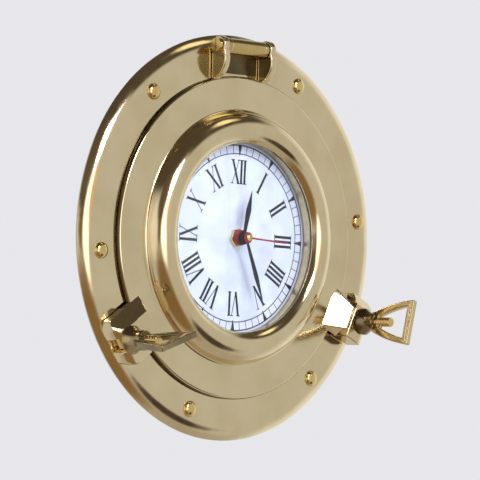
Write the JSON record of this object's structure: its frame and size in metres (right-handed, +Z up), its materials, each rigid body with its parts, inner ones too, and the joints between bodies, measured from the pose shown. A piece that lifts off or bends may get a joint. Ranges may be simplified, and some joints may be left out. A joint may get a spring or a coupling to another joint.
{
  "type": "porthole wall clock",
  "caption": "Polished brass ship's porthole with a top-hinged glazed door, swing-bolt dogs with loop nuts, and a roman-numeral quartz dial behind the domed glass.",
  "frame": {"origin": "top of the keyhole's neck on the hanging axis, in the plane of the wall", "axes": "+Z up, -Y out of the wall towards the viewer, +X to the viewer's right"},
  "size_m": [0.23, 0.0768, 0.23],
  "materials": {
    "cast_brass": "polished casting, faint scratches and tarnish in the corners",
    "bright_brass": "bright turned brass",
    "sheet_brass": "brushed sheet",
    "steel": "zinc plated",
    "glass": "clear domed glass",
    "rubber": "matt",
    "dial_white": "printed satin white",
    "black_plastic": "moulded",
    "battery_jacket": "printed jacket, no lettering",
    "copper": "enamelled wire",
    "board_green": "solder mask",
    "black_paint": "satin black",
    "red_paint": "satin red"
  },
  "bodies": {
    "base": {"flange": "cast_brass", "flange_rivets": "bright_brass", "casing_ring": "sheet_brass", "back_cover": "sheet_brass", "cover_screws": "steel", "dial_plate": "dial_white", "dial_nut": "bright_brass", "rubber_washer": "rubber", "movement_case": "black_plastic", "battery": "battery_jacket", "motor_coil": "copper", "circuit_board": "board_green"},
    "door": {"door": "cast_brass", "hinge_pin": "bright_brass", "glass": "glass", "glass_retaining_ring": "sheet_brass", "door_gasket": "rubber", "dog_pin_left": "bright_brass", "dog_pin_right": "bright_brass"},
    "bolt_left": {"swing_bolt_left": "bright_brass"},
    "bolt_right": {"swing_bolt_right": "bright_brass"},
    "nut_left": {"dog_nut_left": "cast_brass"},
    "nut_right": {"dog_nut_right": "cast_brass"},
    "hour": {"hour_hand": "black_paint"},
    "minute": {"minute_hand": "black_paint"},
    "second": {"second_hand": "red_paint", "hand_cap": "bright_brass"},
    "knob": {"setting_knob": "black_plastic"}
  },
  "joints": [
    {"name": "door_hinge", "type": "hinge", "parent": "base", "child": "door", "pos_m": [-0.002, -0.0334, 0.0473], "axis": [-1, 0, 0], "range_deg": [0, 100]},
    {"name": "bolt_swing_left", "type": "hinge", "parent": "door", "child": "bolt_left", "pos_m": [-0.0886, -0.032, -0.1182], "axis": [0.549, 0, -0.8358], "range_deg": [0, 80]},
    {"name": "nut_turn_left", "type": "hinge", "parent": "bolt_left", "child": "nut_left", "pos_m": [-0.0886, -0.04, -0.1182], "axis": [0, -1, 0], "continuous": true},
    {"name": "bolt_swing_right", "type": "hinge", "parent": "door", "child": "bolt_right", "pos_m": [0.09543, -0.032, -0.10613], "axis": [0.4352, 0, 0.9003], "range_deg": [0, 80]},
    {"name": "nut_turn_right", "type": "hinge", "parent": "bolt_right", "child": "nut_right", "pos_m": [0.09543, -0.04, -0.10613], "axis": [0, -1, 0], "continuous": true},
    {"name": "minute_turn", "type": "hinge", "parent": "base", "child": "minute", "pos_m": [0, -0.0354, -0.06], "axis": [0, 1, 0], "continuous": true},
    {"name": "hour_turn", "type": "hinge", "parent": "base", "child": "hour", "pos_m": [0, -0.0334, -0.06], "axis": [0, 1, 0], "continuous": true},
    {"name": "second_turn", "type": "hinge", "parent": "base", "child": "second", "pos_m": [0, -0.037, -0.06], "axis": [0, 1, 0], "continuous": true},
    {"name": "knob_turn", "type": "hinge", "parent": "base", "child": "knob", "pos_m": [0.011, -0.007, -0.054], "axis": [0, 1, 0], "continuous": true}
  ],
  "couplings": [
    {"joint": "hour_turn", "follows": "minute_turn", "ratio": 0.083333},
    {"joint": "second_turn", "follows": "minute_turn", "ratio": 60},
    {"joint": "knob_turn", "follows": "minute_turn", "ratio": -2}
  ]
}
